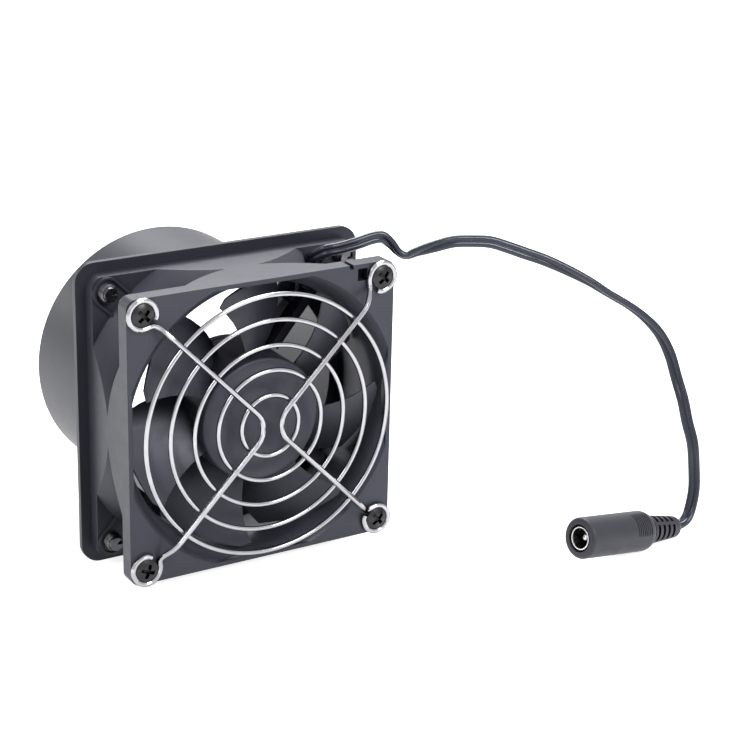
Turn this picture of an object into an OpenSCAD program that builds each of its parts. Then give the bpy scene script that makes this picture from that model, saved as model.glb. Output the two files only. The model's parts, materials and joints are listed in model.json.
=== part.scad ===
// Inline exhaust fan: an axial fan behind a wire guard, on a square plate with a round duct spigot.
// +Y is the airflow, from the guard to the spigot. +Z is up, and +X is to the right in the front view.
// The origin is on the airflow axis, on the back face of the plate, where the spigot starts.

/* [Duct adapter] */
// Width and height of the square plate
plate_w = 86; // [84:1:110]
// Thickness of the plate
plate_t = 1.6; // [1.2:0.1:4]
// Corner radius of the plate
plate_corner_r = 5.5; // [3:0.5:10]
// Outer radius of the spigot that a duct slips over
spigot_r = 37; // [34:0.5:39]
// Wall thickness of the spigot
spigot_wall = 2.1; // [1:0.1:3]
// Length of the spigot behind the plate
spigot_l = 40; // [15:1:80]

/* [Fan frame] */
// Width and height of the square fan frame
frame_w = 80; // [80:1:84]
// Depth of the fan frame along the airflow
frame_depth = 25; // [24:0.5:40]
// Corner radius of the frame's flanges
frame_corner_r = 2.8; // [1:0.2:4]
// Distance between neighbouring mounting holes
hole_spacing = 71.5; // [71:0.5:73]
// Thickness of the front flange
front_flange_t = 4.7; // [3:0.1:6]
// Thickness of the rear flange
rear_flange_t = 3.9; // [3:0.1:6]
// Radius of the duct where the blades turn
throat_r = 37.6; // [37.3:0.1:38]
// Radius of the bell mouth at the front face
mouth_r = 41.5; // [39.5:0.1:43]
// Depth of the bell mouth
mouth_depth = 7.5; // [4:0.5:12]
// Outer radius of the duct wall at the flanges
flare_r = 45.2; // [44:0.1:46]
// Outer radius of the duct wall halfway between the flanges
waist_r = 40.2; // [39.5:0.1:42]
// Thinnest wall left beside the bell mouth
side_wall = 1.3; // [0.8:0.1:2]

/* [Impeller] */
// Number of blades
blade_count = 7; // [5:1:9]
// Radius at the blade tips
blade_tip_r = 37; // [36:0.1:37.2]
// Radius of the hub
hub_r = 17.5; // [17.4:0.1:18.4]
// Angle of the first blade's leading tip, seen from the front
blade_start = 110.8; // [0:0.1:360]
// Angle that one blade takes up round the hub
blade_wrap = 42.6; // [30:0.2:48]
// Angle that one blade takes up at its tip
blade_tip_wrap = 37.6; // [30:0.2:48]
// Angle by which the leading tip runs ahead of the blade's root
blade_sweep = 9.3; // [0:0.1:20]
// Blade thickness at the root
blade_t = 1.5; // [1:0.1:2]
// Distance from the frame's front face back to the hub's front
hub_setback = 1.5; // [1.2:0.1:4]

/* [Motor] */
// Radius of the shaft
shaft_r = 1.5; // [1.2:0.1:1.8]
// Outer radius of the ball bearings
bearing_r = 4; // [3.8:0.1:4.2]
// Width of the ball bearings
bearing_w = 4; // [3:0.1:4.2]
// Number of balls in a bearing
ball_count = 7; // [6:1:7]
// Radius of the motor base
base_r = 17; // [16.5:0.5:20]

/* [Finger guard] */
// Number of guard rings
ring_count = 5; // [3:1:5]
// Radius of the outer guard ring
ring_r = 36.6; // [34:0.2:37]
// Distance between neighbouring guard rings
ring_pitch = 7; // [5:0.5:7.5]
// Wire radius of the guard rings
ring_wire_r = 0.65; // [0.5:0.05:1]
// Wire radius of the two bent spokes
spoke_wire_r = 0.75; // [0.6:0.05:1]
// Distance from the frame's front face to the middle of the ring wires
ring_standoff = 3.3; // [2:0.1:4]

/* [Fasteners] */
// Radius of the guard screws' heads
head_r = 3.2; // [3:0.1:3.3]
// Height of the guard screws' heads
head_h = 2; // [1.8:0.1:2.6]
// Shank radius of all the screws, which cut their own thread in the frame
screw_r = 2.2; // [1.8:0.05:2.3]

/* [Power cord] */
// Width of the flat two-core cord
cord_w = 3.5; // [2.5:0.1:5]
// Radius of the socket's body
jack_r = 5.8; // [5.4:0.1:7]
// Length of the socket's body up to the strain relief
jack_body_l = 27.8; // [26:0.1:36]
// Length of the socket's ribbed strain relief
relief_l = 12.3; // [11.5:0.1:16]

/* [Hidden] */
$fn = 64;

// Overrun of every cut past the face that it opens
over = 0.5;
// Gap between pieces that are pressed, seated or glued together
seat_gap = 0.01;
// Running clearance of the balls in their races
run_gap = 0.03;
// Clearance of a screw in its hole, and of the other small pieces beside their neighbours
thread_gap = 0.05;
part_gap = 0.1;
// The four corners, seen from the front: top left, top right, bottom right, bottom left
corners = [[-1, 1], [1, 1], [1, -1], [-1, -1]];

// Distances forward of the plate's back face
frame_back = plate_t;
frame_front = frame_back + frame_depth;
hole_off = hole_spacing / 2;

// Flare of the duct towards the spigot
outlet_r = 38.6;
outlet_depth = 4;
// Raised rims round the rear flange's holes, each with two ridges running on to the duct wall
rim_r = 4.1;
rim_w = 0.7;
rim_h = 0.6;
ridge_l = 7;
// Notch and square pocket in the top edge of the front flange
notch_x = 26.5;
notch_w = 1.2;
notch_depth = 1.2;
pocket_x = 30;
pocket_z = 37;
pocket_w = 3;
pocket_h = 3.4;
pocket_depth = 3;
// Struts from the motor base to the duct: flat under the hub, and deep from there outwards
strut_count = 4;
strut_turn = 50.3;
strut_w = 4.5;
strut_t = 3;
strut_deep_t = 6.4;
strut_start_r = 12;
strut_deep_r = 18.6;
strut_end_r = 38.2;
// The first strut is wider. It holds the leads in a channel, which ends in a pocket beside the duct wall
lead_strut_w = 8.1;
lead_strut_side = 0.95;
lead_r = 0.6;
lead_gap = 0.3;
lead_start_r = 9.5;
lead_end_r = 43.2;
channel_w = 3.2;
channel_floor_t = 1;
pocket_start_r = 31;
pocket_end_r = 36.6;
pocket_side_w = 5.1;
slot_turn = 56.5;
slot_start_r = 36.3;
slot_end_r = 45.6;
slot_w = 4.2;
slot_h = 4.5;

// Motor base, its label and the bearing tube
base_t = 2.2;
base_boss_r = 6.6;
base_boss_h = 1.6;
label_r = 15;
label_t = 0.3;
tube_floor = 1;
tube_wall = 1;
tube_l = 16;
tube_r = bearing_r + tube_wall;
shoulder_r = 3.2;
rear_bearing_lift = 2;

// Bearings
ball_r = 0.79;
race_pitch_r = (bearing_r + shaft_r) / 2;
race_land = 0.5;
shield_t = 0.25;
shield_reach = 0.2;

// Board and parts on it
board_t = 1;
board_r = 15;
board_gap = 0.15;
chip_size = [4, 3, 1.2];
chip_at = [0, -10];
hall_size = [1.5, 3, 3];
hall_r = 11.3;
hall_turn = 45;
capacitor_size = [3.2, 1.6, 1.2];
capacitor_at = [-9.5, 4];

// Rotor
hub_wall = 1.2;
hub_front_t = 1.6;
hub_edge_r = 1;
hub_lift = 3.8;
hub_boss_r = 3.6;
hub_boss_l = 2.5;
shaft_sink = 0.8;
shaft_lift = 1.8;
yoke_t = 1;
yoke_front_t = 0.8;
yoke_hole_r = 6;
yoke_lift = 5.8;
magnet_t = 2;
magnet_l = 11.5;
magnet_lift = 7;
air_gap = 0.4;

// Stator
core_lift = 3.6;
core_l = 8;
core_r = hub_r - hub_wall - yoke_t - magnet_t - air_gap - 2 * seat_gap;
core_ring_w = 2.2;
pole_count = 4;
arm_w = 3.2;
shoe_t = 1.6;
shoe_angle = 74;
insulator_t = 0.8;
coil_t = 1.2;
coil_w = 6.4;
coil_l = 3.2;

// Preload spring between the front bearing and the hub
spring_wire_r = 0.15;
spring_r = 1.95;
spring_turns = 2.5;
spring_steps = 24;
spring_sides = 6;
// Clip that holds the shaft in the rear bearing
clip_t = 0.4;
clip_r = 2.2;
clip_neck_r = 1.15;
clip_gap_angle = 60;

// Blade, with places from 0 at its root to 1 at its tip, and depths behind the frame's front face
lead_depth_root = 4;
lead_depth_tip = 1.5;
trail_depth_root = 17;
trail_depth_tip = 13.5;
blade_sink = 0.6;
blade_tip_t_share = 0.7;
blade_edge_share = 0.35;
blade_camber_share = 0.28;
// Height cut off the corner of the leading tip
blade_corner = 1.2;
blade_rows = 6;
blade_steps = 9;

// Guard wires
weld_sink = 0.15;
eye_r = 3.9;
eye_corners = 7;
nose_x = 2.8;
nose_z = 2.7;
jog_high_share = [0.811, 0.822];
jog_low_share = [0.9, 0.923];
bend_l = 2.5;
bend_steps = 3;
wire_sides = 10;

// Screws: a cone under the guard screws' heads rests on the wire eyes, and the rear screws' ends have
// thread rings and a cutting notch
recess_w = 1;
recess_l = 4;
recess_depth = 1.2;
screw_turns = [45, 48, 42, 70];
head_cone_h = 1.15;
guard_screw_l = 6.2;
rear_head_r = 3.5;
rear_head_h = 2;
pan_dome_h = 1.2;
thread_r = 2.5;
thread_root_r = 2.05;
thread_count = 3;
thread_pitch = 0.85;
screw_tip_l = 0.6;
screw_tip_r = 1.9;
notch_turn = 22;

// Socket on the cord, lying on the floor with its mouth raised
jack_tilt = 10;
jack_turn = 7.8;
jack_x = 74.65;
jack_y = -70.86;
jack_shoulder_r = 4.1;
jack_lip_r = 0.9;
jack_mouth_r = 3.9;
jack_mouth_l = 1.8;
sleeve_r = 3.25;
sleeve_t = 0.35;
sleeve_l = 12;
sleeve_setback = 0.3;
core_l2 = 4;
pin_r = 1.05;
pin_setback = 1.6;
pin_tail = 2;
grip_from = 18.2;
grip_count = 8;
grip_pitch = 0.75;
grip_w = 0.35;
grip_depth = 0.2;
grip_share = 0.8;
mark_turn = 46;
relief_r1 = 4.2;
relief_r2 = 3.15;
relief_end_r = 1.9;
relief_bore_r = 1.9;
relief_bore_l = 3;
relief_rows = 4;
relief_pitch = 2.3;
relief_from = 0.55;
relief_slot_w = 1.1;
relief_core_r = 2.3;
relief_rib_w = 0.9;
floor_z = -plate_w / 2;
jack_z = floor_z + (jack_body_l - jack_shoulder_r) * sin(jack_tilt)
    + (jack_r - jack_shoulder_r) * cos(jack_tilt) + jack_shoulder_r;

// Free cord: places chosen by hand, from the slot in the duct wall to the socket's strain relief
cord_t = 1.9;
cord_sides = 8;
cord_route = [
    [24.5, -7.5, 37], [25.5, -9.5, 38.5], [27.5, -11.5, 40], [31, -12.5, 40.5], [36, -13.5, 41.5],
    [40.5, -14, 42.5], [43.5, -14.5, 42.5], [46, -15, 40.5], [48, -16, 38], [50, -17, 37],
    [53, -18, 38], [58, -20, 39.5], [62.5, -21.5, 40.5], [67, -23, 40.5], [72.5, -25, 40],
    [77, -27, 38.5], [82, -29.5, 36.5], [87, -31.5, 34.5], [93, -34.5, 31.5], [99, -37.5, 28],
    [104, -40, 24.5], [110, -43, 20.5], [114.5, -45.5, 16.5], [118, -47.5, 12], [120, -50, 6.5],
    [121, -52.5, 0], [121.5, -55.5, -6], [122, -57.5, -12], [122.5, -60, -18], [122.5, -61.5, -25],
    [121.9, -62.9, -31], [120.3, -63.9, -36], [118.6, -64.6, -38.7], [116.4, -65, -40],
    [113.8, -65.5, -40.1], [111.8, -65.8, -39.7]
];
cord_first = [-0.8, 0, 0.6];
lead_first = [0, 0.6, 0.8];

// Heights that the motor's pieces share, all forward of the plate's back face
base_top = frame_back + base_t;
board_back = base_top + base_boss_h;
board_front = board_back + board_t;
core_back = board_front + core_lift;
core_front = core_back + core_l;
tube_back = frame_back + tube_floor;
rear_bearing = tube_back + rear_bearing_lift;
front_bearing = tube_back + tube_l - bearing_w;
hub_front = frame_front - hub_setback;
hub_back = frame_back + hub_lift;
shaft_front = hub_front - shaft_sink;
hub_inside = hub_front - hub_front_t;
hub_boss_back = hub_inside - hub_boss_l;
yoke_r = hub_r - hub_wall - seat_gap;
magnet_r = yoke_r - yoke_t - seat_gap;
clip_front = rear_bearing - seat_gap;
spring_from = front_bearing + bearing_w + seat_gap + spring_wire_r;
spring_rise = hub_boss_back - seat_gap - spring_wire_r - spring_from;
echo(spring_least_gap = spring_rise / spring_turns - 2 * spring_wire_r);
channel_floor = frame_back + channel_floor_t;
lead_pitch = 2 * lead_r + lead_gap;
eye_h = frame_front + spoke_wire_r + seat_gap;
ring_h = frame_front + ring_standoff;
spoke_h = ring_h + ring_wire_r + spoke_wire_r - weld_sink;
head_seat = frame_front + seat_gap;

// Places its children on the airflow axis, at a distance forward of the plate's back face
module ahead(h) {
    translate([0, -h, 0]) rotate([90, 0, 0]) children();
}

module at(h) {
    translate([0, 0, h]) children();
}

module at_corners() {
    for (c = corners) translate([c[0] * hole_off, c[1] * hole_off, 0]) children();
}

module ring(r_out, r_in, h) {
    difference() {
        cylinder(r = r_out, h = h);
        at(-over) cylinder(r = r_in, h = h + 2 * over);
    }
}

// A square sheet with round corners, made of two bars and four discs
module rounded_sheet(w, r, h) {
    translate([-w / 2 + r, -w / 2, 0]) cube([w - 2 * r, w, h]);
    translate([-w / 2, -w / 2 + r, 0]) cube([w, w - 2 * r, h]);
    for (c = corners) translate([c[0] * (w / 2 - r), c[1] * (w / 2 - r), 0]) cylinder(r = r, h = h);
}

// A box with its middle at the given place, standing on the plane of that place
module block(at, size) {
    translate([at[0] - size[0] / 2, at[1] - size[1] / 2, 0]) cube(size);
}

function unit(v) = v / norm(v);
function flat(a, h) = [a[0], a[1], h];
function tangents(p) = [for (i = [0:len(p) - 1]) unit(p[min(i + 1, len(p) - 1)] - p[max(i - 1, 0)])];
function normals(t, n, i = 0, done = []) =
    i == len(t) ? done :
    let (m = unit(n - (n * t[i]) * t[i])) normals(t, m, i + 1, concat(done, [m]));

// A closed tube along a list of points, with an oval section of half axes a and b
module sweep(path, a, b, sides, first = [0, 0, 1]) {
    t = tangents(path);
    n = normals(t, first);
    last = len(path) - 1;
    points = [for (i = [0:last], k = [0:sides - 1])
        let (w = 360 * (k + 0.5) / sides)
        path[i] + a * cos(w) * n[i] + b * sin(w) * cross(t[i], n[i])];
    walls = [for (i = [0:last - 1], k = [0:sides - 1])
        let (p = i * sides + k, q = i * sides + (k + 1) % sides)
        each [[p, p + sides, q], [q, p + sides, q + sides]]];
    ends = [for (k = [1:sides - 2]) each [[0, k, k + 1],
        [last * sides, last * sides + k + 1, last * sides + k]]];
    polyhedron(points = points, faces = concat(walls, ends), convexity = 8);
}

// The same list with each inner corner rounded off, over at most half of the shorter side
function towards(p, q) = p + unit(q - p) * min(norm(q - p) / 2, bend_l);
function bent(p) = [for (i = [0:len(p) - 1])
    each (i == 0 || i == len(p) - 1) ? [p[i]] :
    let (a = towards(p[i], p[i - 1]), b = towards(p[i], p[i + 1]))
    [for (k = [0:bend_steps]) let (u = k / bend_steps)
        (1 - u) * (1 - u) * a + 2 * u * (1 - u) * p[i] + u * u * b]];
function distinct(p) = [for (i = [0:len(p) - 1])
    if (i == 0 || norm(p[i] - p[max(i - 1, 0)]) > seat_gap) p[i]];

module duct_adapter() {
    color([0.24, 0.25, 0.27]) ahead(0) difference() {
        union() {
            rounded_sheet(plate_w, plate_corner_r, plate_t);
            at(-spigot_l) cylinder(r = spigot_r, h = spigot_l + plate_t / 2, $fn = 128);
        }
        at(-spigot_l - over)
            cylinder(r = spigot_r - spigot_wall, h = spigot_l + plate_t + 2 * over, $fn = 128);
        at(-over) at_corners() cylinder(r = screw_r + thread_gap, h = plate_t + 2 * over);
    }
}

// Outline of the duct wall's outside: a waist between two flares
module wall_outline() {
    rear = frame_back + rear_flange_t;
    front = frame_front - front_flange_t;
    polygon([[0, frame_back], [flare_r, frame_back], [flare_r, rear], [waist_r, (rear + front) / 2],
        [flare_r, front], [flare_r, frame_front], [0, frame_front]]);
}

// Outline of the air passage: outlet flare, throat and a round bell mouth
module passage_outline() {
    rise = mouth_r - throat_r;
    arc_r = (rise * rise + mouth_depth * mouth_depth) / (2 * rise);
    difference() {
        polygon([[0, frame_back - over], [outlet_r, frame_back - over], [outlet_r, frame_back],
            [throat_r, frame_back + outlet_depth], [throat_r, frame_front - mouth_depth],
            [mouth_r, frame_front - mouth_depth], [mouth_r, frame_front + over], [0, frame_front + over]]);
        translate([throat_r + arc_r, frame_front - mouth_depth]) circle(r = arc_r);
    }
}

module frame_block() {
    difference() {
        union() {
            at(frame_back) rounded_sheet(frame_w, frame_corner_r, rear_flange_t);
            at(frame_front - front_flange_t) rounded_sheet(frame_w, frame_corner_r, front_flange_t);
            intersection() {
                rotate_extrude($fn = 128) wall_outline();
                at(frame_back) block([0, 0], [frame_w, frame_w, frame_depth]);
            }
            at(frame_back + rear_flange_t) for (c = corners)
                translate([c[0] * hole_off, c[1] * hole_off, 0]) rotate(atan2(-c[1], -c[0])) hole_rim();
        }
        intersection() {
            rotate_extrude($fn = 128) passage_outline();
            at(frame_back - 2 * over)
                block([0, 0], [frame_w - 2 * side_wall, frame_w - 2 * side_wall, frame_depth + 4 * over]);
        }
    }
}

module hole_rim() {
    inner = rim_r - rim_w;
    difference() {
        union() {
            cylinder(r = rim_r, h = rim_h);
            translate([0, -rim_r, 0]) cube([ridge_l, 2 * rim_r, rim_h]);
        }
        at(-over) cylinder(r = inner, h = rim_h + 2 * over);
        translate([0, -inner, -over]) cube([ridge_l + over, 2 * inner, rim_h + 2 * over]);
    }
}

module strut(w) {
    arm(strut_start_r, strut_end_r, w, strut_t);
    arm(strut_deep_r, strut_end_r, w, strut_deep_t);
}

module fan_frame() {
    color([0.2, 0.2, 0.22]) ahead(0) difference() {
        union() {
            frame_block();
            at(frame_back) rotate(strut_turn) translate([0, lead_strut_side, 0]) strut(lead_strut_w);
            at(frame_back) for (k = [1:strut_count - 1]) rotate(strut_turn + k * 360 / strut_count)
                strut(strut_w);
            at(frame_back) cylinder(r = base_r, h = base_t);
            at(frame_back) cylinder(r = base_boss_r, h = base_t + base_boss_h);
        }
        at(tube_back) cylinder(r = tube_r + seat_gap, h = frame_depth);
        at(frame_back - over) cylinder(r = label_r + part_gap, h = label_t + over);
        at(frame_back - over) at_corners()
            cylinder(r = screw_r + thread_gap, h = rear_flange_t + 2 * over);
        at(frame_front - front_flange_t - over) at_corners()
            cylinder(r = screw_r + thread_gap, h = front_flange_t + 2 * over);
        rotate(strut_turn) translate([0, lead_strut_side - channel_w / 2, channel_floor]) {
            translate([base_boss_r + over, 0, 0])
                cube([pocket_start_r - base_boss_r, channel_w, strut_deep_t]);
            translate([pocket_start_r, 0, 0])
                cube([pocket_end_r - pocket_start_r, channel_w / 2 + pocket_side_w, strut_deep_t]);
        }
        rotate(slot_turn) translate([slot_start_r, -slot_w / 2, frame_back + rear_flange_t])
            cube([slot_end_r - slot_start_r, slot_w, slot_h]);
        at(frame_front - front_flange_t - over)
            translate([notch_x - notch_w / 2, frame_w / 2 - notch_depth, 0])
            cube([notch_w, notch_depth + over, front_flange_t + 2 * over]);
        at(frame_front - pocket_depth)
            block([pocket_x, pocket_z], [pocket_w, pocket_h, pocket_depth + over]);
    }
}

function blade_place(i) = (i * (blade_tip_r - hub_r) - (blade_rows - i) * blade_sink) / blade_rows
    / (blade_tip_r - hub_r);
function mixed(a, b, t) = a + (b - a) * t;
// A point on the blade's front side (1) or back side (-1)
function blade_point(t, s, side) =
    let (r = mixed(hub_r, blade_tip_r, t) - blade_corner * t * max(0, 1 - blade_steps * s),
        wrap = mixed(blade_wrap, blade_tip_wrap, t),
        angle = blade_start - blade_sweep * cos(90 * t) - wrap * s,
        lead = mixed(lead_depth_root, lead_depth_tip, t),
        trail = mixed(trail_depth_root, trail_depth_tip, t),
        depth = mixed(lead, trail, s - blade_camber_share * s * (1 - s)),
        slope = atan2(trail - lead, r * wrap * PI / 180),
        thick = blade_t * mixed(1, blade_tip_t_share, t) * mixed(blade_edge_share, 1, sin(180 * s)))
    [r * cos(angle), r * sin(angle), frame_front - depth + side * thick / 2 / cos(slope)];

module blade() {
    n = blade_steps + 1;
    layer = (blade_rows + 1) * n;
    points = [for (side = [1, -1], i = [0:blade_rows], k = [0:blade_steps])
        blade_point(blade_place(i), k / blade_steps, side)];
    skins = [for (i = [0:blade_rows - 1], k = [0:blade_steps - 1]) let (p = i * n + k, q = layer + p)
        each [[p, p + n, p + 1], [p + 1, p + n, p + n + 1], [q, q + 1, q + n], [q + 1, q + n + 1, q + n]]];
    chord_edges = [for (k = [0:blade_steps - 1]) let (p = k, q = blade_rows * n + k)
        each [[p, p + 1, layer + p], [p + 1, layer + p + 1, layer + p],
            [q, layer + q, q + 1], [q + 1, layer + q, layer + q + 1]]];
    span_edges = [for (i = [0:blade_rows - 1]) let (p = i * n, q = i * n + blade_steps)
        each [[p, layer + p, p + n], [p + n, layer + p, layer + p + n],
            [q, q + n, layer + q], [q + n, layer + q + n, layer + q]]];
    polyhedron(points = points, faces = concat(skins, chord_edges, span_edges), convexity = 4);
}

module hub_outline() {
    height = hub_front - hub_back;
    square([hub_r, height - hub_edge_r]);
    square([hub_r - hub_edge_r, height]);
    translate([hub_r - hub_edge_r, height - hub_edge_r]) circle(r = hub_edge_r);
}

module impeller() {
    color([0.13, 0.13, 0.14]) ahead(0) {
        difference() {
            union() {
                difference() {
                    at(hub_back) rotate_extrude($fn = 128) hub_outline();
                    at(hub_back - over)
                        cylinder(r = hub_r - hub_wall, h = hub_inside - hub_back + over, $fn = 128);
                }
                at(hub_boss_back) cylinder(r = hub_boss_r, h = hub_boss_l + hub_front_t / 2);
            }
            at(hub_boss_back - over)
                cylinder(r = shaft_r + seat_gap, h = shaft_front + seat_gap - hub_boss_back + over);
        }
        for (k = [0:blade_count - 1]) rotate(k * 360 / blade_count) blade();
    }
}

module rotor_yoke() {
    color([0.62, 0.63, 0.65]) ahead(0) difference() {
        at(frame_back + yoke_lift) cylinder(r = yoke_r, h = hub_inside - seat_gap - frame_back - yoke_lift);
        at(frame_back + yoke_lift - over) cylinder(r = yoke_r - yoke_t,
            h = hub_inside - seat_gap - yoke_front_t - frame_back - yoke_lift + over);
        at(hub_inside - yoke_front_t - over) cylinder(r = yoke_hole_r, h = yoke_front_t + 2 * over);
    }
}

module ring_magnet() {
    color([0.16, 0.15, 0.15]) ahead(frame_back + magnet_lift) ring(magnet_r, magnet_r - magnet_t, magnet_l);
}

module rotor_shaft() {
    color([0.75, 0.76, 0.78]) ahead(0) difference() {
        at(frame_back + shaft_lift) cylinder(r = shaft_r, h = shaft_front - frame_back - shaft_lift);
        at(clip_front - clip_t - seat_gap) ring(shaft_r + over, clip_neck_r, clip_t + 2 * seat_gap);
    }
}

module shaft_clip() {
    color([0.35, 0.36, 0.38]) ahead(clip_front - clip_t) rotate(clip_gap_angle / 2)
        rotate_extrude(angle = 360 - clip_gap_angle) translate([clip_neck_r + seat_gap, 0])
        square([clip_r - clip_neck_r - seat_gap, clip_t]);
}

module preload_spring() {
    count = spring_turns * spring_steps;
    path = [for (i = [0:count]) let (w = 360 * i / spring_steps)
        [spring_r * cos(w), spring_r * sin(w), spring_from + spring_rise * i / count]];
    color([0.7, 0.71, 0.73]) ahead(0) sweep(path, spring_wire_r, spring_wire_r, spring_sides);
}

module bearing_tube() {
    color([0.78, 0.64, 0.35]) ahead(tube_back) difference() {
        cylinder(r = tube_r, h = tube_l);
        at(-over) cylinder(r = shoulder_r, h = tube_l + 2 * over);
        at(-over) cylinder(r = bearing_r + seat_gap, h = rear_bearing_lift + bearing_w + over);
        at(tube_l - bearing_w) cylinder(r = bearing_r + seat_gap, h = bearing_w + over);
    }
}

module ball_track() {
    at(bearing_w / 2) rotate_extrude() translate([race_pitch_r, 0]) circle(r = ball_r + run_gap);
}

module outer_race() {
    difference() {
        ring(bearing_r, race_pitch_r + race_land, bearing_w);
        ball_track();
    }
    for (z = [0, bearing_w - shield_t]) at(z)
        ring(race_pitch_r + race_land + shield_t, race_pitch_r - shield_reach, shield_t);
}

module inner_race() {
    difference() {
        ring(race_pitch_r - race_land, shaft_r + seat_gap, bearing_w);
        ball_track();
    }
}

module balls() {
    for (k = [0:ball_count - 1]) rotate(k * 360 / ball_count)
        translate([race_pitch_r, 0, bearing_w / 2]) sphere(r = ball_r);
}

module front_outer_race() {
    color([0.7, 0.71, 0.72]) ahead(front_bearing) outer_race();
}

module front_inner_race() {
    color([0.72, 0.73, 0.74]) ahead(front_bearing) inner_race();
}

module front_balls() {
    color([0.8, 0.8, 0.82]) ahead(front_bearing) balls();
}

module rear_outer_race() {
    color([0.7, 0.71, 0.72]) ahead(rear_bearing) outer_race();
}

module rear_inner_race() {
    color([0.72, 0.73, 0.74]) ahead(rear_bearing) inner_race();
}

module rear_balls() {
    color([0.8, 0.8, 0.82]) ahead(rear_bearing) balls();
}

module at_poles() {
    for (k = [0:pole_count - 1]) rotate(k * 360 / pole_count) children();
}

module arm(from, to, w, h) {
    translate([from, -w / 2, 0]) cube([to - from, w, h]);
}

module stator_core() {
    ring_out = tube_r + seat_gap + core_ring_w;
    color([0.45, 0.46, 0.48]) ahead(core_back) {
        ring(ring_out, tube_r + seat_gap, core_l);
        at_poles() arm(ring_out - core_ring_w / 2, core_r - shoe_t / 2, arm_w, core_l);
        at_poles() rotate(-shoe_angle / 2) rotate_extrude(angle = shoe_angle)
            translate([core_r - shoe_t, 0]) square([shoe_t, core_l]);
    }
}

module insulator() {
    ring_out = tube_r + seat_gap + core_ring_w;
    ring(ring_out, tube_r + seat_gap, insulator_t);
    at_poles() arm(ring_out - core_ring_w / 2, core_r - shoe_t / 2, arm_w, insulator_t);
}

module front_insulator() {
    color([0.86, 0.85, 0.8]) ahead(core_front + seat_gap) insulator();
}

module rear_insulator() {
    color([0.86, 0.85, 0.8]) ahead(core_back - seat_gap - insulator_t) insulator();
}

module stator_coils() {
    from = tube_r + core_ring_w + 2 * part_gap;
    inner = core_l + 2 * insulator_t + 4 * seat_gap;
    color([0.72, 0.42, 0.22]) ahead((core_back + core_front) / 2) at_poles() difference() {
        at(-inner / 2 - coil_t) arm(from, from + coil_l, coil_w, inner + 2 * coil_t);
        at(-inner / 2) arm(from - over, from + coil_l + over, arm_w + 2 * seat_gap, inner);
    }
}

module circuit_board() {
    color([0.1, 0.33, 0.2]) ahead(board_back) ring(board_r, tube_r + board_gap, board_t);
}

module drive_chip() {
    color([0.08, 0.08, 0.09]) ahead(board_front) block(chip_at, chip_size);
}

module hall_sensor() {
    color([0.1, 0.1, 0.11]) ahead(board_front) rotate(hall_turn) block([hall_r, 0], hall_size);
}

module capacitor() {
    color([0.6, 0.5, 0.36]) ahead(board_front) block(capacitor_at, capacitor_size);
}

module rear_label() {
    color([0.75, 0.76, 0.78]) ahead(frame_back) cylinder(r = label_r, h = label_t - seat_gap);
}

// One lead, on the left side (1) or right side (-1) of the channel: along the strut, then up through
// the pocket at its end, and out through the slot, where the left lead lies above the other
function polar(r, w, h) = [r * cos(w), r * sin(w), h];
function lead_route(s) =
    let (y = lead_strut_side + s * lead_pitch / 2, low = channel_floor + lead_r + part_gap,
        out = frame_back + rear_flange_t + lead_r + part_gap + (1 + s) / 2 * lead_pitch,
        turn = slot_turn - strut_turn)
    [[lead_start_r, y, board_back - seat_gap], [lead_start_r, y, low],
     [pocket_start_r - (1 + s) * lead_pitch, y, low], [pocket_end_r - 2 * lead_pitch, y, out],
     polar(slot_start_r + lead_pitch, turn, out), polar(lead_end_r, turn, out)];

module motor_leads() {
    color([0.12, 0.12, 0.13]) ahead(0) rotate(strut_turn) for (s = [1, -1])
        sweep(distinct(bent(lead_route(s))), lead_r, lead_r, cord_sides, lead_first);
}

module guard_rings() {
    color([0.82, 0.83, 0.85]) ahead(ring_h) for (k = [0:ring_count - 1])
        rotate_extrude($fn = 96) translate([ring_r - k * ring_pitch, 0]) circle(r = ring_wire_r);
}

// Places along a spoke's end at one corner: the high bend, the low bend and the eye round the screw
function spoke_end(c) =
    let (mid = [c[0] * hole_off, c[1] * hole_off], first = atan2(-c[1], -c[0]) - 45)
    concat([[c[0] * hole_off * jog_high_share[0], c[1] * hole_off * jog_high_share[1], spoke_h],
            [c[0] * hole_off * jog_low_share[0], c[1] * hole_off * jog_low_share[1], eye_h]],
        [for (k = [0:eye_corners - 1]) flat(mid + eye_r / cos(22.5)
            * [cos(first - 45 * k), sin(first - 45 * k)], eye_h)],
        [flat(mid + eye_r * [cos(first - 45 * eye_corners + 22.5), sin(first - 45 * eye_corners + 22.5)],
            eye_h)]);
function reversed(p) = [for (i = [len(p) - 1:-1:0]) p[i]];
function spoke_path(top, bottom) = distinct(bent(concat(reversed(spoke_end(top)),
    [[top[0] * nose_x, nose_z, spoke_h], [top[0] * nose_x, -nose_z, spoke_h]], spoke_end(bottom))));

module spoke(top, bottom) {
    color([0.82, 0.83, 0.85]) ahead(0)
        sweep(spoke_path(top, bottom), spoke_wire_r, spoke_wire_r, wire_sides);
}

module left_spoke() {
    spoke(corners[0], corners[3]);
}

module right_spoke() {
    spoke(corners[1], corners[2]);
}

// A screw's head with a cross recess, standing on its underside: a cone, then a rim, then a dome
module screw_head(r, h_cone, h, h_dome, turn) {
    dome_r = (r * r + h_dome * h_dome) / (2 * h_dome);
    difference() {
        intersection() {
            union() {
                if (h_cone > 0) cylinder(r1 = screw_r, r2 = r, h = h_cone);
                at(h_cone) cylinder(r = r, h = h - h_cone);
            }
            at(h - dome_r) sphere(r = dome_r, $fn = 96);
        }
        at(h - recess_depth) rotate(turn) {
            block([0, 0], [recess_w, recess_l, recess_depth + over]);
            block([0, 0], [recess_l, recess_w, recess_depth + over]);
        }
    }
}

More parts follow.
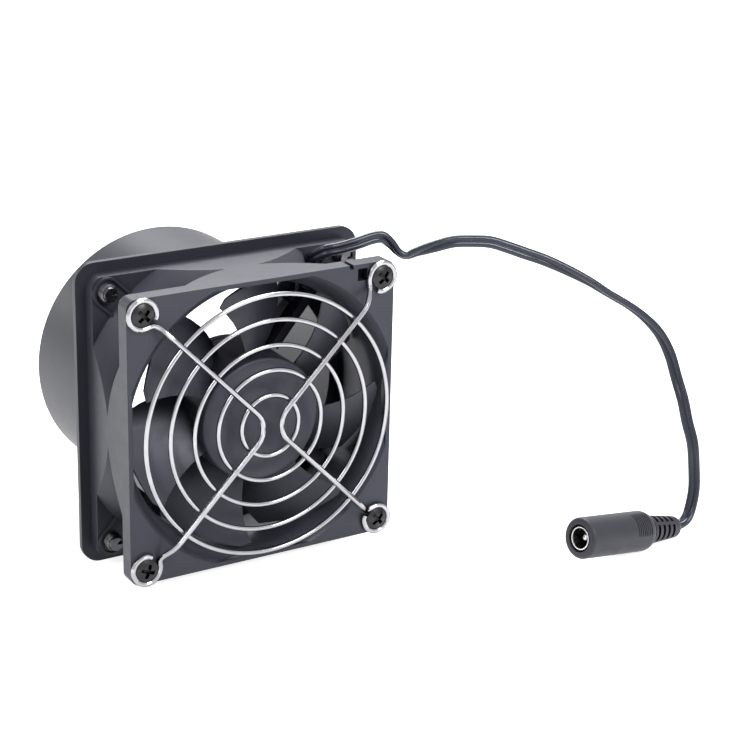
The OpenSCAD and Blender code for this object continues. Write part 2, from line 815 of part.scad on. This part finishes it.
module guard_screws() {
    color([0.07, 0.07, 0.08]) ahead(head_seat) for (k = [0:len(corners) - 1])
        translate([corners[k][0] * hole_off, corners[k][1] * hole_off, 0]) {
            screw_head(head_r, head_cone_h, head_h, head_h - head_cone_h, screw_turns[k]);
            at(-guard_screw_l) cylinder(r = screw_r, h = guard_screw_l + head_h - recess_depth);
        }
}

// The end of a rear screw, standing on the face that it comes out of
module threaded_end() {
    l = thread_count * thread_pitch;
    difference() {
        union() {
            at(-over) cylinder(r = thread_root_r, h = l + over);
            for (k = [0:thread_count - 1]) at(k * thread_pitch + thread_gap)
                cylinder(r1 = thread_r, r2 = thread_root_r, h = thread_pitch / 2);
            at(l) cylinder(r1 = thread_root_r, r2 = screw_tip_r, h = screw_tip_l);
        }
        rotate(notch_turn) translate([0, 0, l - thread_pitch])
            linear_extrude(height = thread_pitch + screw_tip_l + over)
            polygon([[0, 0], [2 * thread_r, -thread_r], [2 * thread_r, thread_r]]);
    }
}

module rear_screws() {
    shank_l = frame_back + rear_flange_t;
    color([0.4, 0.41, 0.43]) ahead(0) at_corners() {
        rotate([180, 0, 0]) screw_head(rear_head_r, 0, rear_head_h, pan_dome_h, 0);
        at(recess_depth - rear_head_h) cylinder(r = screw_r, h = shank_l - recess_depth + rear_head_h);
        at(shank_l) threaded_end();
    }
}

module power_cord() {
    color([0.12, 0.13, 0.16]) sweep(cord_route, cord_t / 2, cord_w / 2, cord_sides, cord_first);
}

// Places its children at the socket's mouth, with +Z running back to the strain relief
module at_jack() {
    translate([jack_x, jack_y, jack_z]) rotate([0, 90 + jack_tilt, jack_turn]) children();
}

module jack_outline() {
    translate([jack_r - jack_lip_r, jack_lip_r]) circle(r = jack_lip_r);
    square([jack_r - jack_lip_r, jack_body_l - jack_shoulder_r]);
    translate([0, jack_lip_r]) square([jack_r, jack_body_l - jack_lip_r - jack_shoulder_r]);
    translate([jack_r - jack_shoulder_r, jack_body_l - jack_shoulder_r]) circle(r = jack_shoulder_r);
    square([jack_r - jack_shoulder_r, jack_body_l]);
}

// Half outline of the strain relief, which starts inside the body's rounded shoulder
module relief_outline() {
    translate([0, jack_body_l]) {
        polygon([[0, -over], [relief_r1, -over], [relief_r2, relief_l - relief_end_r],
                 [relief_r2 - relief_end_r, relief_l], [0, relief_l]]);
        translate([relief_r2 - relief_end_r, relief_l - relief_end_r]) circle(r = relief_end_r);
    }
}

// Fine grooves to grip the body by, on two opposite sides
module grip_grooves() {
    for (k = [0:grip_count - 1]) at(grip_from + k * grip_pitch) difference() {
        ring(jack_r + over, jack_r - grip_depth, grip_w);
        rotate(mark_turn) at(-over)
            block([0, 0], [2 * grip_share * jack_r, 2 * jack_r + 2 * over, grip_w + 2 * over]);
    }
}

// Slots that let the strain relief bend, with four ribs left between them
module relief_slots() {
    rib_l = 2 * relief_r1 + 2 * over;
    for (k = [0:relief_rows - 1]) at(jack_body_l + relief_from + k * relief_pitch) difference() {
        ring(relief_r1 + over, relief_core_r, relief_slot_w);
        for (side = [0, 90]) rotate(mark_turn + side) at(-over)
            block([0, 0], [rib_l, relief_rib_w, relief_slot_w + 2 * over]);
    }
}

module jack_body() {
    bore_l = sleeve_setback + sleeve_l + core_l2 + pin_tail;
    color([0.2, 0.21, 0.23]) at_jack() difference() {
        rotate_extrude() intersection() {
            union() {
                jack_outline();
                relief_outline();
            }
            square([jack_r, jack_body_l + relief_l]);
        }
        at(-over) cylinder(r = sleeve_r + seat_gap, h = bore_l + over);
        at(-over) cylinder(r = jack_mouth_r, h = jack_mouth_l + over);
        at(jack_body_l + relief_l - relief_bore_l) cylinder(r = relief_bore_r, h = relief_bore_l + over);
        grip_grooves();
        relief_slots();
    }
}

module jack_sleeve() {
    color([0.78, 0.78, 0.76]) at_jack() at(sleeve_setback) ring(sleeve_r, sleeve_r - sleeve_t, sleeve_l);
}

module jack_core() {
    color([0.1, 0.1, 0.1]) at_jack() at(sleeve_setback + sleeve_l + seat_gap)
        ring(sleeve_r, pin_r + seat_gap, core_l2 - seat_gap);
}

module jack_pin() {
    from = sleeve_setback + pin_setback + pin_r;
    to = sleeve_setback + sleeve_l + core_l2 + pin_tail - seat_gap;
    color([0.82, 0.8, 0.72]) at_jack() {
        at(from) cylinder(r = pin_r, h = to - from);
        at(from) sphere(r = pin_r);
    }
}

duct_adapter();
fan_frame();
impeller();
rotor_yoke();
ring_magnet();
rotor_shaft();
front_inner_race();
front_outer_race();
front_balls();
rear_inner_race();
rear_outer_race();
rear_balls();
preload_spring();
shaft_clip();
bearing_tube();
stator_core();
front_insulator();
rear_insulator();
stator_coils();
circuit_board();
hall_sensor();
drive_chip();
capacitor();
rear_label();
motor_leads();
guard_rings();
left_spoke();
right_spoke();
guard_screws();
rear_screws();
power_cord();
jack_body();
jack_core();
jack_sleeve();
jack_pin();
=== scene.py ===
# Inline exhaust fan: materials, cord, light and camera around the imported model.
import json
import math

import bpy
from mathutils import Euler, Matrix, Vector


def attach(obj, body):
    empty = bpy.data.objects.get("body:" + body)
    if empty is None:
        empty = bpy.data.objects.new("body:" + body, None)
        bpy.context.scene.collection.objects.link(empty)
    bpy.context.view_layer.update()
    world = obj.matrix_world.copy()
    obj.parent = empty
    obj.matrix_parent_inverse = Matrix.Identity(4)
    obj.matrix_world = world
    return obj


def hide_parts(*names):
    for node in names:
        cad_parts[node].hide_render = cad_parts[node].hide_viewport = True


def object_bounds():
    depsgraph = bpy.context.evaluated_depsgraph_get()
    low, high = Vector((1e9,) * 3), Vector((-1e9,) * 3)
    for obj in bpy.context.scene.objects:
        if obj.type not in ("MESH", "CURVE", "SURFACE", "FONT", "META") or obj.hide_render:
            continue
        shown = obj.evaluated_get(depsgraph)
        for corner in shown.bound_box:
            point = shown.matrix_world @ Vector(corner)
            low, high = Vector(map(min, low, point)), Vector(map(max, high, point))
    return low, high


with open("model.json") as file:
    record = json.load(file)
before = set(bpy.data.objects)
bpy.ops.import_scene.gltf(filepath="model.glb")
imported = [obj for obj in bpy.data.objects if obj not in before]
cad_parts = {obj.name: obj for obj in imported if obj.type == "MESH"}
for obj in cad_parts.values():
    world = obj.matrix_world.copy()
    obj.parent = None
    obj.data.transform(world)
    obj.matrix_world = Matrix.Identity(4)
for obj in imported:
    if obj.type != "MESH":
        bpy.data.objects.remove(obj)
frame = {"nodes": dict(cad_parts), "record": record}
cad_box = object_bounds()

MM = 0.001
WHITE = (1.0, 1.0, 1.0, 1.0)

# Camera, as worked out from the photograph: place in metres, angles in degrees, lens and sensor in mm
CAMERA_PLACE = (-0.24598, -0.47475, 0.20165)
CAMERA_AZIMUTH = -32.06
CAMERA_ELEVATION = 20.18
CAMERA_ROLL = 1.45
CAMERA_LENS = 97.98
CAMERA_SENSOR = 36
CAMERA_NEAR = 10 * MM

# Strength of the light from all round
WORLD_LIGHT = 0.22

# Floor: half its width in metres, its own shade, and the white that is added where it is seen directly
FLOOR_HALF = 3.0
FLOOR_GRAY = 0.85
FLOOR_ROUGHNESS = 0.9
FLOOR_WHITE = 0.84

# Soft square lamps: place, point that the lamp is turned to and width in metres, and power in watts
LAMPS = {
    "key": ((0.3, -1.0, 0.85), (0.0, 0.0, 0.0), 0.5, 11.5),
    "top": ((0.4, 0.75, 1.05), (0.0, 0.0, 0.0), 0.8, 22),
    "left": ((-1.0, -0.2, 0.9), (0.0, 0.0, 0.0), 0.4, 4),
    "rear": ((-0.2, 1.0, 0.1), (0.03, 0.0, 0.01), 0.2, 1.5),
}

# Cord's route in metres, as in the part's source
CORD_ROUTE = [
    (0.0245, -0.0075, 0.037), (0.0255, -0.0095, 0.0385), (0.0275, -0.0115, 0.04),
    (0.031, -0.0125, 0.0405), (0.036, -0.0135, 0.0415), (0.0405, -0.014, 0.0425),
    (0.0435, -0.0145, 0.0425), (0.046, -0.015, 0.0405), (0.048, -0.016, 0.038),
    (0.05, -0.017, 0.037), (0.053, -0.018, 0.038), (0.058, -0.02, 0.0395),
    (0.0625, -0.0215, 0.0405), (0.067, -0.023, 0.0405), (0.0725, -0.025, 0.04),
    (0.077, -0.027, 0.0385), (0.082, -0.0295, 0.0365), (0.087, -0.0315, 0.0345),
    (0.093, -0.0345, 0.0315), (0.099, -0.0375, 0.028), (0.104, -0.04, 0.0245),
    (0.11, -0.043, 0.0205), (0.1145, -0.0455, 0.0165), (0.118, -0.0475, 0.012),
    (0.12, -0.05, 0.0065), (0.121, -0.0525, 0.0), (0.1215, -0.0555, -0.006),
    (0.122, -0.0575, -0.012), (0.1225, -0.06, -0.018), (0.1225, -0.0615, -0.025),
    (0.1219, -0.0629, -0.031), (0.1203, -0.0639, -0.036), (0.1186, -0.0646, -0.0387),
    (0.1164, -0.065, -0.04), (0.1138, -0.0655, -0.0401), (0.1118, -0.0658, -0.0397),
]
CORD_WIDTH = 3.5 * MM
CORD_CORE_R = 0.95 * MM
# Steps of the cord's mesh between two points of the route, and sides of its section
CORD_STEPS = 5
CORD_SIDES = 28
# Side that the cord's flat face looks to, and its turn away from it at each point of the route, in degrees
CORD_FACE = (-0.55, -0.78, 0.32)
CORD_TWIST = [
    0, 0, 0, 0, 0, 0, 10, 45, 75, 80, 60, 20, 0, 0, 0, 0, 5, 20,
    40, 60, 75, 75, 60, 40, 20, 10, 0, 0, 0, 0, 0, 10, 30, 60, 80, 80,
]

# Edges that turn by less than this many degrees are shaded smooth, once points this close are one
SHARP_ANGLE = 24
WELD_GAP = 0.001 * MM

# Rays that look for edges and for recesses at each point
LOOK_SAMPLES = 6
# Cosine between the flat and the rounded normal, at a sharp edge and on a flat face
EDGE_COSINE = (0.85, 0.995)
# Share of a point's surroundings that is open, deep in a hollow and on an open face, between which the
# shade painted into recesses is spread
OPENNESS = (0.35, 0.95)

# Noises: scale per metre, detail and roughness
MOTTLE_NOISE = (90, 4.0, 0.5)
WEAR_NOISE = (700, 3.0, 0.5)
GLOSS_NOISE = (260, 5.0, 0.65)
TARNISH_NOISE = (300, 5.0, 0.6)
DIRT_NOISE = (900, 4.0, 0.7)
POLISH_NOISE = (500, 4.0, 0.6)
SCRATCH_NOISE = (1500, 2.0, 0.5)
# Detail and roughness of a plastic's grain, whose scale is its own
GRAIN_NOISE = (2.0, 0.5)

# Ranges of a noise's value that are spread out: most of it, and its upper parts for wear and for dirt
MOST = (0.3, 0.7)
WEAR_PART = (0.4, 0.65)
DIRT_PART = (0.5, 0.75)

# Plastics: tint of the sheen, how rubbed edges lighten, and how far and how deep the shade painted into
# recesses reaches and darkens
COOL_SHEEN = (0.88, 0.9, 1.0, 1.0)
RUBBED_GAIN = 1.7
RUBBED_LIFT = 0.02
PLASTIC_PAINTED_SHADE_REACH = 4 * MM
PLASTIC_PAINTED_SHADE = 0.5
# Painted shade of recesses at which the sheen is gone, and of an open face that keeps all of it, so
# recesses get painted shade on their sheen too
PAINTED_SHADE_SHEEN_RANGE = (0.2, 1.0)
GRAIN_DEPTH = 0.03 * MM

# Metals: radius of edges, tarnish, shade of dirt, least and most share of the roughness, and scratches
METAL_EDGE = 0.12 * MM
TARNISH = 0.15
DIRT_SHADE = 0.35
POLISH_SPREAD = (0.75, 1.35)
SCRATCH_STRENGTH = 0.25
SCRATCH_DEPTH = 0.015 * MM
# How far round a point recesses paint shade that darkens a metal's colour
METAL_PAINTED_SHADE_REACH = 1.5 * MM

# Looks of the plastic slots and the metal slots: what a row leaves out has its function's usual value
PLASTICS = {
    "adapter_plastic": dict(color=(0.024, 0.025, 0.034), roughness=0.42, grain=0.2, mottle=0.04,
                            specular=0.35, gloss_change=0.015),
    "frame_plastic": dict(color=(0.036, 0.0375, 0.05), roughness=0.42, specular=0.4, gloss_change=0.04),
    "blade_plastic": dict(color=(0.029, 0.03, 0.041), roughness=0.46, grain=0.25),
    "cord_vinyl": dict(color=(0.017, 0.02, 0.033), roughness=0.24, grain=0.1, grain_scale=1200,
                       edge=0.1 * MM, wear=0.1),
    "jack_plastic": dict(color=(0.024, 0.024, 0.031), roughness=0.5, grain=0.5, grain_scale=3200),
    "magnet": dict(color=(0.03, 0.028, 0.028), roughness=0.6),
    "insulator_plastic": dict(color=(0.75, 0.72, 0.62), roughness=0.45),
    "board_green": dict(color=(0.02, 0.13, 0.05), roughness=0.3, grain=0.15),
    "chip_black": dict(color=(0.02, 0.02, 0.02), roughness=0.5),
    "capacitor_tan": dict(color=(0.4, 0.28, 0.16), roughness=0.45),
}
METALS = {
    # The last value of each row is how deep shade is painted into its recesses
    "guard_chrome": dict(color=(0.44, 0.44, 0.465), roughness=0.13, edge_tint=0.05, painted_recess_shade=0.35),
    "black_steel": dict(color=(0.045, 0.045, 0.048), roughness=0.3, painted_recess_shade=0.9),
    "dark_steel": dict(color=(0.12, 0.12, 0.13), roughness=0.25, edge_tint=0.3, painted_recess_shade=0.9),
    "plated_steel": dict(color=(0.16, 0.16, 0.17), roughness=0.25, edge_tint=0.3),
    "bearing_steel": dict(color=(0.72, 0.73, 0.74), roughness=0.15),
    "brass": dict(color=(0.75, 0.56, 0.28), roughness=0.28, brushed=(1, 30, 1)),
    "coil_copper": dict(color=(0.6, 0.25, 0.1), roughness=0.3, brushed=(30, 1, 30)),
    "label_silver": dict(color=(0.6, 0.6, 0.62), roughness=0.35),
    "contact_metal": dict(color=(0.66, 0.66, 0.65), roughness=0.2, dirt=0.2),
}


def tree(material):
    """The material's nodes and links, and its shader."""
    nodes = material.node_tree.nodes
    return nodes, material.node_tree.links, nodes["Principled BSDF"]


def feed(links, value, socket):
    """Links a socket to the value, where that is a socket too, or sets it to a number or a colour."""
    if hasattr(value, "links"):
        links.new(value, socket)
    elif isinstance(value, tuple):
        socket.default_value = (*value, 1.0)
    else:
        socket.default_value = value


def calculate(nodes, links, operation, first, second):
    """What a math node makes of two values, each a number or a socket."""
    node = nodes.new("ShaderNodeMath")
    node.operation = operation
    feed(links, first, node.inputs[0])
    feed(links, second, node.inputs[1])
    return node.outputs["Value"]


def mix(material, factor, first, second, blend="MIX"):
    """A blend of two colours by a factor, where each of the three is a value or a socket."""
    nodes, links, _ = tree(material)
    node = nodes.new("ShaderNodeMix")
    node.data_type = "RGBA"
    node.blend_type = blend
    feed(links, factor, node.inputs["Factor"])
    feed(links, first, node.inputs["A"])
    feed(links, second, node.inputs["B"])
    return node.outputs["Result"]


def noise(material, scale, detail, roughness, finer=None):
    """A noise over the object's own space, finer along some axes if asked."""
    nodes, links, _ = tree(material)
    place = nodes.new("ShaderNodeTexCoord").outputs["Object"]
    if finer:
        mapping = nodes.new("ShaderNodeMapping")
        mapping.inputs["Scale"].default_value = finer
        links.new(place, mapping.inputs["Vector"])
        place = mapping.outputs["Vector"]
    texture = nodes.new("ShaderNodeTexNoise")
    texture.inputs["Scale"].default_value = scale
    texture.inputs["Detail"].default_value = detail
    texture.inputs["Roughness"].default_value = roughness
    links.new(place, texture.inputs["Vector"])
    return texture.outputs["Fac"]


def spread(material, value, low, high, part=MOST):
    """The value, where the given part of its range is spread from low to high."""
    nodes, links, _ = tree(material)
    node = nodes.new("ShaderNodeMapRange")
    node.inputs["From Min"].default_value = part[0]
    node.inputs["From Max"].default_value = part[1]
    node.inputs["To Min"].default_value = low
    node.inputs["To Max"].default_value = high
    links.new(value, node.inputs["Value"])
    return node.outputs["Result"]


def edge_mask(material, radius):
    """One on edges and zero on flat faces, and the normal of edges rounded by the radius."""
    nodes, links, _ = tree(material)
    bevel = nodes.new("ShaderNodeBevel")
    bevel.samples = LOOK_SAMPLES
    bevel.inputs["Radius"].default_value = radius
    geometry = nodes.new("ShaderNodeNewGeometry")
    dot = nodes.new("ShaderNodeVectorMath")
    dot.operation = "DOT_PRODUCT"
    links.new(bevel.outputs["Normal"], dot.inputs[0])
    links.new(geometry.outputs["Normal"], dot.inputs[1])
    return spread(material, dot.outputs["Value"], 1.0, 0.0, EDGE_COSINE), bevel.outputs["Normal"]


def with_painted_recess_shade(material, color, depth, reach):
    """The colour with shade painted into corners and recesses within reach, darker by the depth, and that
    painted shade.
    """
    nodes, _, _ = tree(material)
    # Painted shade: the colour is darkened where the surroundings close in
    hidden = nodes.new("ShaderNodeAmbientOcclusion")
    hidden.samples = LOOK_SAMPLES
    hidden.only_local = True
    hidden.inputs["Distance"].default_value = reach
    painted_shade = spread(material, hidden.outputs["AO"], 1.0 - depth, 1.0, OPENNESS)
    return mix(material, 1.0, color, painted_shade, "MULTIPLY"), painted_shade


def emboss(material, height, strength, depth, rounded):
    """Gives the shader a relief of the height on top of its rounded edges."""
    nodes, links, shader = tree(material)
    bump = nodes.new("ShaderNodeBump")
    bump.inputs["Strength"].default_value = strength
    bump.inputs["Distance"].default_value = depth
    links.new(height, bump.inputs["Height"])
    links.new(rounded, bump.inputs["Normal"])
    links.new(bump.outputs["Normal"], shader.inputs["Normal"])


def moulded(name, color, roughness, grain=0.35, grain_scale=2600, mottle=0.12, edge=0.25 * MM,
            wear=0.5, specular=0.5, gloss_change=0.06):
    """Moulded plastic: fine grain, faint mottling, rounded edges that are rubbed a little lighter, and
    shade painted into recesses on its colour and its sheen.
    """
    material = bpy.data.materials.new(name)
    material.use_nodes = True
    nodes, links, shader = tree(material)
    mask, rounded = edge_mask(material, edge)
    patches = spread(material, noise(material, *WEAR_NOISE), 0.0, wear, WEAR_PART)
    worn = calculate(nodes, links, "MULTIPLY", mask, patches)
    dark = tuple(c * (1 - mottle) for c in color)
    light = tuple(c * (1 + mottle) for c in color)
    rubbed = tuple(min(1.0, c * RUBBED_GAIN + RUBBED_LIFT) for c in color)
    body = mix(material, spread(material, noise(material, *MOTTLE_NOISE), 0.0, 1.0), dark, light)
    surface = mix(material, worn, body, rubbed)
    # Painted shade: the colour is darkened in corners and recesses
    surface, painted_shade = with_painted_recess_shade(material, surface, PLASTIC_PAINTED_SHADE, PLASTIC_PAINTED_SHADE_REACH)
    # Painted shade on the reflections: the sheen fades in recesses
    sheen_with_painted_shade = spread(material, painted_shade, 0.0, specular, PAINTED_SHADE_SHEEN_RANGE)
    clouds = noise(material, *GLOSS_NOISE)
    gloss = spread(material, clouds, roughness - gloss_change, roughness + gloss_change)
    links.new(surface, shader.inputs["Base Color"])
    links.new(sheen_with_painted_shade, shader.inputs["Specular IOR Level"])
    links.new(gloss, shader.inputs["Roughness"])
    shader.inputs["Specular Tint"].default_value = COOL_SHEEN
    emboss(material, noise(material, grain_scale, *GRAIN_NOISE), grain, GRAIN_DEPTH, rounded)
    return material


def metal(name, color, roughness, brushed=None, dirt=0.0, edge_tint=1.0, painted_recess_shade=0.5):
    """Metal: varied gloss, faint scratches that may run one way, a little tarnish or dirt, and shade
    painted into its recesses.
    """
    material = bpy.data.materials.new(name)
    material.use_nodes = True
    _, links, shader = tree(material)
    _, rounded = edge_mask(material, METAL_EDGE)
    dark = tuple(c * (1 - TARNISH) for c in color)
    soiled = tuple(c * DIRT_SHADE for c in color)
    surface = mix(material, spread(material, noise(material, *TARNISH_NOISE), 0.0, 1.0), dark, color)
    soil = spread(material, noise(material, *DIRT_NOISE), 0.0, dirt, DIRT_PART)
    surface = mix(material, soil, surface, soiled)
    # Painted shade: the colour darkens in corners, recesses and where parts meet
    surface, _ = with_painted_recess_shade(material, surface, painted_recess_shade, METAL_PAINTED_SHADE_REACH)
    smoothest, roughest = (roughness * share for share in POLISH_SPREAD)
    gloss = spread(material, noise(material, *POLISH_NOISE), smoothest, roughest)
    links.new(surface, shader.inputs["Base Color"])
    links.new(gloss, shader.inputs["Roughness"])
    shader.inputs["Metallic"].default_value = 1.0
    shader.inputs["Specular Tint"].default_value = (edge_tint, edge_tint, edge_tint, 1.0)
    scratches = noise(material, *SCRATCH_NOISE, brushed)
    emboss(material, scratches, SCRATCH_STRENGTH, SCRATCH_DEPTH, rounded)
    return material


def smooth_group():
    """Node group that drops a mesh's own normals and shades it smooth, apart from its sharp edges."""
    group = bpy.data.node_groups.new("smooth_by_angle", "GeometryNodeTree")
    for way in ("INPUT", "OUTPUT"):
        group.interface.new_socket("Geometry", in_out=way, socket_type="NodeSocketGeometry")
    nodes, links = group.nodes, group.links
    source = nodes.new("NodeGroupInput")
    plain = nodes.new("GeometryNodeRemoveAttribute")
    plain.inputs["Name"].default_value = "custom_normal"
    faces = nodes.new("GeometryNodeSetShadeSmooth")
    edges = nodes.new("GeometryNodeSetShadeSmooth")
    edges.domain = "EDGE"
    angle = nodes.new("GeometryNodeInputMeshEdgeAngle")
    compare = nodes.new("FunctionNodeCompare")
    compare.operation = "LESS_EQUAL"
    compare.inputs["B"].default_value = math.radians(SHARP_ANGLE)
    result = nodes.new("NodeGroupOutput")
    links.new(angle.outputs["Unsigned Angle"], compare.inputs["A"])
    links.new(compare.outputs["Result"], edges.inputs["Shade Smooth"])
    chain = [source, plain, faces, edges, result]
    for before, after in zip(chain, chain[1:]):
        links.new(before.outputs["Geometry"], after.inputs["Geometry"])
    return group


def dress_nodes():
    """Gives each CAD node the material of its slot, and smooth shading on its curved faces."""
    slots = {row["node"]: row["material_slot"] for row in frame["record"]["subparts"]}
    group = smooth_group()
    for node, slot in slots.items():
        piece = frame["nodes"][node]
        piece.data.materials.clear()
        piece.data.materials.append(MATERIALS[slot])
        weld = piece.modifiers.new("weld", "WELD")
        weld.merge_threshold = WELD_GAP
        piece.modifiers.new("smooth", "NODES").node_group = group


def add(name, data):
    """A new object in the scene."""
    thing = bpy.data.objects.new(name, data)
    bpy.context.scene.collection.objects.link(thing)
    return thing


def smooth_path(points, steps):
    """Catmull-Rom points through the given ones."""
    points = [Vector(p) for p in points]
    padded = [2 * points[0] - points[1], *points, 2 * points[-1] - points[-2]]
    path = []
    for i in range(len(points) - 1):
        a, b, c, d = padded[i:i + 4]
        for k in range(steps):
            t = k / steps
            path.append(0.5 * (2 * b + (c - a) * t + (2 * a - 5 * b + 4 * c - d) * t * t
                               + (3 * b - a - 3 * c + d) * t ** 3))
    return [*path, points[-1]]


def twist_at(step):
    """The cord's turn in radians at a step of its smooth path."""
    point = min(step // CORD_STEPS, len(CORD_TWIST) - 2)
    t = step / CORD_STEPS - point
    return math.radians(CORD_TWIST[point] + (CORD_TWIST[point + 1] - CORD_TWIST[point]) * t)


def cord_section(angle):
    """A point of the cord's section: two round cores side by side that run into each other."""
    half = CORD_WIDTH / 2 - CORD_CORE_R
    bulge = math.sqrt(max(0.0, CORD_CORE_R ** 2 - (half * math.sin(angle)) ** 2))
    reach = half * abs(math.cos(angle)) + bulge
    return reach * math.cos(angle), reach * math.sin(angle)


def cord_mesh(path):
    """The cord's section along the path, closed at both ends."""
    last = len(path) - 1
    vertices, faces = [], []
    for i, place in enumerate(path):
        tangent = (path[min(i + 1, last)] - path[max(i - 1, 0)]).normalized()
        face = Vector(CORD_FACE)
        face = (face - face.dot(tangent) * tangent).normalized()
        turned = Matrix.Rotation(twist_at(i), 3, tangent) @ face
        side = tangent.cross(turned)
        for k in range(CORD_SIDES):
            wide, thin = cord_section(2 * math.pi * k / CORD_SIDES)
            vertices.append(place + turned * thin + side * wide)
    for i in range(last):
        for k in range(CORD_SIDES):
            a = i * CORD_SIDES + k
            b = i * CORD_SIDES + (k + 1) % CORD_SIDES
            faces.append((a, b, b + CORD_SIDES, a + CORD_SIDES))
    faces.append(tuple(reversed(range(CORD_SIDES))))
    faces.append(tuple(last * CORD_SIDES + k for k in range(CORD_SIDES)))
    mesh = bpy.data.meshes.new("two_core_cord")
    mesh.from_pydata(vertices, [], faces)
    mesh.polygons.foreach_set("use_smooth", [True] * len(mesh.polygons))
    return mesh


def make_cord():
    """The flat two-core cord, from the slot in the duct wall to the socket's strain relief."""
    path = smooth_path(CORD_ROUTE, CORD_STEPS)
    cord = add("two_core_cord", cord_mesh(path))
    cord.data.materials.append(MATERIALS["cord_vinyl"])
    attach(cord, "housing")
    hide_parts("power_cord")


def seen_directly(nodes, links):
    """One for rays from the camera, from reflections and through glass, and zero for all other rays."""
    rays = nodes.new("ShaderNodeLightPath")
    seen = rays.outputs["Is Camera Ray"]
    for name in ("Is Glossy Ray", "Is Transmission Ray"):
        seen = calculate(nodes, links, "MAXIMUM", seen, rays.outputs[name])
    return seen


def make_world():
    """An even pale light from all round, seen as white."""
    world = bpy.data.worlds.new("studio")
    bpy.context.scene.world = world
    world.use_nodes = True
    nodes, links = world.node_tree.nodes, world.node_tree.links
    nodes.clear()
    light = nodes.new("ShaderNodeBackground")
    light.inputs["Strength"].default_value = WORLD_LIGHT
    white = nodes.new("ShaderNodeBackground")
    white.inputs["Color"].default_value = WHITE
    white.inputs["Strength"].default_value = 1.0
    output = nodes.new("ShaderNodeOutputWorld")
    blend = nodes.new("ShaderNodeMixShader")
    links.new(seen_directly(nodes, links), blend.inputs["Fac"])
    links.new(light.outputs["Background"], blend.inputs[1])
    links.new(white.outputs["Background"], blend.inputs[2])
    links.new(blend.outputs["Shader"], output.inputs["Surface"])


def make_floor():
    """A wide pale floor at the part's lowest point, seen as white outside the part's shadow."""
    z = cad_box[0][2]
    corners = [(x * FLOOR_HALF, y * FLOOR_HALF, z) for x, y in ((-1, -1), (1, -1), (1, 1), (-1, 1))]
    mesh = bpy.data.meshes.new("floor")
    mesh.from_pydata(corners, [], [(0, 1, 2, 3)])
    material = bpy.data.materials.new("floor")
    material.use_nodes = True
    nodes, links, shader = tree(material)
    shader.inputs["Base Color"].default_value = (FLOOR_GRAY, FLOOR_GRAY, FLOOR_GRAY, 1.0)
    shader.inputs["Roughness"].default_value = FLOOR_ROUGHNESS
    shader.inputs["Specular IOR Level"].default_value = 0.0
    shader.inputs["Emission Color"].default_value = WHITE
    glow = calculate(nodes, links, "MULTIPLY", seen_directly(nodes, links), FLOOR_WHITE)
    links.new(glow, shader.inputs["Emission Strength"])
    mesh.materials.append(material)
    add("floor", mesh)


def make_lamp(name, place, aim, width, power):
    """A soft square lamp at a place, turned to a point."""
    data = bpy.data.lights.new(name, "AREA")
    data.shape = "SQUARE"
    data.size = width
    data.energy = power
    lamp = add(name, data)
    lamp.location = place
    lamp.rotation_euler = (Vector(aim) - Vector(place)).to_track_quat("-Z", "Y").to_euler()


def make_camera():
    """The photograph's camera."""
    data = bpy.data.cameras.new("camera")
    data.lens = CAMERA_LENS
    data.sensor_width = CAMERA_SENSOR
    data.clip_start = CAMERA_NEAR
    camera = add("camera", data)
    level = Euler((math.radians(90 - CAMERA_ELEVATION), 0, math.radians(CAMERA_AZIMUTH))).to_matrix()
    rolled = level @ Matrix.Rotation(math.radians(CAMERA_ROLL), 3, "Z")
    camera.matrix_world = Matrix.Translation(CAMERA_PLACE) @ rolled.to_4x4()
    bpy.context.scene.camera = camera


MATERIALS = {name: moulded(name, **look) for name, look in PLASTICS.items()}
MATERIALS.update({name: metal(name, **look) for name, look in METALS.items()})
dress_nodes()
make_cord()
make_world()
make_floor()
for name, lamp in LAMPS.items():
    make_lamp(name, *lamp)
make_camera()
bpy.context.scene.view_settings.view_transform = "Standard"
